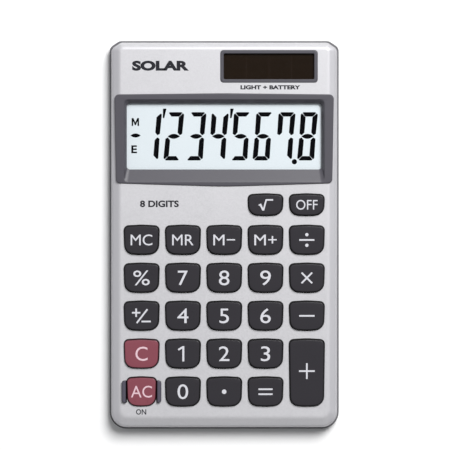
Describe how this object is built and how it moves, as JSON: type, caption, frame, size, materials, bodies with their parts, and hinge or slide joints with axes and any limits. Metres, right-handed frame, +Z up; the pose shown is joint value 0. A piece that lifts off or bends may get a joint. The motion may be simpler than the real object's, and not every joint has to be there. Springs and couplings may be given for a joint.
{
  "type": "pocket calculator",
  "caption": "Flat solar-and-battery pocket calculator with a raised display frame, keystone keys under the display and a screwed rear cover.",
  "frame": {"origin": "on the resting face of the rear cover, under the middle of the case", "axes": "+Z up out of the keys, +Y towards the display end, +X to the reader's right"},
  "size_m": [0.07, 0.1184, 0.008],
  "materials": {
    "case_silver": "satin silver-grey lacquered plastic",
    "cover_grey": "fine-textured dark grey plastic",
    "label_foil": "brushed foil, blank",
    "frame_grey": "satin charcoal-grey plastic",
    "window_clear": "clear polished plastic",
    "lcd_film": "neutral polarising film",
    "lcd_glass": "float glass",
    "lcd_reflector": "diffuse pale blue-grey reflector",
    "zebra_rubber": "layered elastomer",
    "solar_silicon": "dark brown amorphous silicon behind glass",
    "lead_red": "vinyl insulation",
    "lead_black": "vinyl insulation",
    "silicone_mat": "translucent silicone rubber",
    "carbon": "conductive carbon rubber",
    "board_green": "solder-masked paper laminate",
    "blob_resin": "black epoxy",
    "component_tan": "moulded component",
    "component_black": "moulded component",
    "screw_steel": "zinc plated",
    "cell_steel": "nickel plated steel",
    "gasket_nylon": "nylon",
    "contact_steel": "nickel plated spring strip",
    "key_charcoal": "satin charcoal plastic, printed",
    "key_red": "satin muted red plastic, printed"
  },
  "bodies": {
    "case": {"front_case": "case_silver", "rear_cover": "cover_grey", "rear_label": "label_foil", "guard_rail_left": "frame_grey", "guard_rail_right": "frame_grey", "display_bezel": "frame_grey", "display_window": "window_clear", "lcd_front_polariser": "lcd_film", "lcd_front_glass": "lcd_glass", "lcd_rear_glass": "lcd_glass", "lcd_reflector": "lcd_reflector", "zebra_strip": "zebra_rubber", "solar_frame": "frame_grey", "solar_window": "window_clear", "solar_cell": "solar_silicon", "solar_lead_red": "lead_red", "solar_lead_black": "lead_black", "key_mat": "silicone_mat", "carbon_pills": "carbon", "main_board": "board_green", "chip_blob": "blob_resin", "buffer_capacitor": "component_tan", "limiter_led": "component_tan", "blocking_diode": "component_black", "case_screws": "screw_steel", "board_screws": "screw_steel", "battery_can": "cell_steel", "battery_gasket": "gasket_nylon", "battery_cap": "cell_steel", "battery_contact_negative": "contact_steel", "battery_contact_positive": "contact_steel"},
    "key_square_root": {"key_square_root": "key_charcoal"},
    "key_off": {"key_off": "key_charcoal"},
    "key_memory_clear": {"key_memory_clear": "key_charcoal"},
    "key_memory_recall": {"key_memory_recall": "key_charcoal"},
    "key_memory_minus": {"key_memory_minus": "key_charcoal"},
    "key_memory_plus": {"key_memory_plus": "key_charcoal"},
    "key_divide": {"key_divide": "key_charcoal"},
    "key_percent": {"key_percent": "key_charcoal"},
    "key_seven": {"key_seven": "key_charcoal"},
    "key_eight": {"key_eight": "key_charcoal"},
    "key_nine": {"key_nine": "key_charcoal"},
    "key_multiply": {"key_multiply": "key_charcoal"},
    "key_change_sign": {"key_change_sign": "key_charcoal"},
    "key_four": {"key_four": "key_charcoal"},
    "key_five": {"key_five": "key_charcoal"},
    "key_six": {"key_six": "key_charcoal"},
    "key_minus": {"key_minus": "key_charcoal"},
    "key_clear": {"key_clear": "key_red"},
    "key_one": {"key_one": "key_charcoal"},
    "key_two": {"key_two": "key_charcoal"},
    "key_three": {"key_three": "key_charcoal"},
    "key_all_clear": {"key_all_clear": "key_red"},
    "key_zero": {"key_zero": "key_charcoal"},
    "key_point": {"key_point": "key_charcoal"},
    "key_equals": {"key_equals": "key_charcoal"},
    "key_plus": {"key_plus": "key_charcoal"}
  },
  "joints": [
    {"name": "key_square_root_press", "type": "slide", "parent": "case", "child": "key_square_root", "axis": [0, 0, -1], "range_m": [0, 0.0008], "stiffness_N_per_m": 1000, "deforming": ["key_mat", "carbon_pills"]},
    {"name": "key_off_press", "type": "slide", "parent": "case", "child": "key_off", "axis": [0, 0, -1], "range_m": [0, 0.0008], "stiffness_N_per_m": 1000, "deforming": ["key_mat", "carbon_pills"]},
    {"name": "key_memory_clear_press", "type": "slide", "parent": "case", "child": "key_memory_clear", "axis": [0, 0, -1], "range_m": [0, 0.0008], "stiffness_N_per_m": 1000, "deforming": ["key_mat", "carbon_pills"]},
    {"name": "key_memory_recall_press", "type": "slide", "parent": "case", "child": "key_memory_recall", "axis": [0, 0, -1], "range_m": [0, 0.0008], "stiffness_N_per_m": 1000, "deforming": ["key_mat", "carbon_pills"]},
    {"name": "key_memory_minus_press", "type": "slide", "parent": "case", "child": "key_memory_minus", "axis": [0, 0, -1], "range_m": [0, 0.0008], "stiffness_N_per_m": 1000, "deforming": ["key_mat", "carbon_pills"]},
    {"name": "key_memory_plus_press", "type": "slide", "parent": "case", "child": "key_memory_plus", "axis": [0, 0, -1], "range_m": [0, 0.0008], "stiffness_N_per_m": 1000, "deforming": ["key_mat", "carbon_pills"]},
    {"name": "key_divide_press", "type": "slide", "parent": "case", "child": "key_divide", "axis": [0, 0, -1], "range_m": [0, 0.0008], "stiffness_N_per_m": 1000, "deforming": ["key_mat", "carbon_pills"]},
    {"name": "key_percent_press", "type": "slide", "parent": "case", "child": "key_percent", "axis": [0, 0, -1], "range_m": [0, 0.0008], "stiffness_N_per_m": 1000, "deforming": ["key_mat", "carbon_pills"]},
    {"name": "key_seven_press", "type": "slide", "parent": "case", "child": "key_seven", "axis": [0, 0, -1], "range_m": [0, 0.0008], "stiffness_N_per_m": 1000, "deforming": ["key_mat", "carbon_pills"]},
    {"name": "key_eight_press", "type": "slide", "parent": "case", "child": "key_eight", "axis": [0, 0, -1], "range_m": [0, 0.0008], "stiffness_N_per_m": 1000, "deforming": ["key_mat", "carbon_pills"]},
    {"name": "key_nine_press", "type": "slide", "parent": "case", "child": "key_nine", "axis": [0, 0, -1], "range_m": [0, 0.0008], "stiffness_N_per_m": 1000, "deforming": ["key_mat", "carbon_pills"]},
    {"name": "key_multiply_press", "type": "slide", "parent": "case", "child": "key_multiply", "axis": [0, 0, -1], "range_m": [0, 0.0008], "stiffness_N_per_m": 1000, "deforming": ["key_mat", "carbon_pills"]},
    {"name": "key_change_sign_press", "type": "slide", "parent": "case", "child": "key_change_sign", "axis": [0, 0, -1], "range_m": [0, 0.0008], "stiffness_N_per_m": 1000, "deforming": ["key_mat", "carbon_pills"]},
    {"name": "key_four_press", "type": "slide", "parent": "case", "child": "key_four", "axis": [0, 0, -1], "range_m": [0, 0.0008], "stiffness_N_per_m": 1000, "deforming": ["key_mat", "carbon_pills"]},
    {"name": "key_five_press", "type": "slide", "parent": "case", "child": "key_five", "axis": [0, 0, -1], "range_m": [0, 0.0008], "stiffness_N_per_m": 1000, "deforming": ["key_mat", "carbon_pills"]},
    {"name": "key_six_press", "type": "slide", "parent": "case", "child": "key_six", "axis": [0, 0, -1], "range_m": [0, 0.0008], "stiffness_N_per_m": 1000, "deforming": ["key_mat", "carbon_pills"]},
    {"name": "key_minus_press", "type": "slide", "parent": "case", "child": "key_minus", "axis": [0, 0, -1], "range_m": [0, 0.0008], "stiffness_N_per_m": 1000, "deforming": ["key_mat", "carbon_pills"]},
    {"name": "key_clear_press", "type": "slide", "parent": "case", "child": "key_clear", "axis": [0, 0, -1], "range_m": [0, 0.0008], "stiffness_N_per_m": 1000, "deforming": ["key_mat", "carbon_pills"]},
    {"name": "key_one_press", "type": "slide", "parent": "case", "child": "key_one", "axis": [0, 0, -1], "range_m": [0, 0.0008], "stiffness_N_per_m": 1000, "deforming": ["key_mat", "carbon_pills"]},
    {"name": "key_two_press", "type": "slide", "parent": "case", "child": "key_two", "axis": [0, 0, -1], "range_m": [0, 0.0008], "stiffness_N_per_m": 1000, "deforming": ["key_mat", "carbon_pills"]},
    {"name": "key_three_press", "type": "slide", "parent": "case", "child": "key_three", "axis": [0, 0, -1], "range_m": [0, 0.0008], "stiffness_N_per_m": 1000, "deforming": ["key_mat", "carbon_pills"]},
    {"name": "key_all_clear_press", "type": "slide", "parent": "case", "child": "key_all_clear", "axis": [0, 0, -1], "range_m": [0, 0.0008], "stiffness_N_per_m": 1000, "deforming": ["key_mat", "carbon_pills"]},
    {"name": "key_zero_press", "type": "slide", "parent": "case", "child": "key_zero", "axis": [0, 0, -1], "range_m": [0, 0.0008], "stiffness_N_per_m": 1000, "deforming": ["key_mat", "carbon_pills"]},
    {"name": "key_point_press", "type": "slide", "parent": "case", "child": "key_point", "axis": [0, 0, -1], "range_m": [0, 0.0008], "stiffness_N_per_m": 1000, "deforming": ["key_mat", "carbon_pills"]},
    {"name": "key_equals_press", "type": "slide", "parent": "case", "child": "key_equals", "axis": [0, 0, -1], "range_m": [0, 0.0008], "stiffness_N_per_m": 1000, "deforming": ["key_mat", "carbon_pills"]},
    {"name": "key_plus_press", "type": "slide", "parent": "case", "child": "key_plus", "axis": [0, 0, -1], "range_m": [0, 0.0008], "stiffness_N_per_m": 1000, "deforming": ["key_mat", "carbon_pills"]}
  ]
}
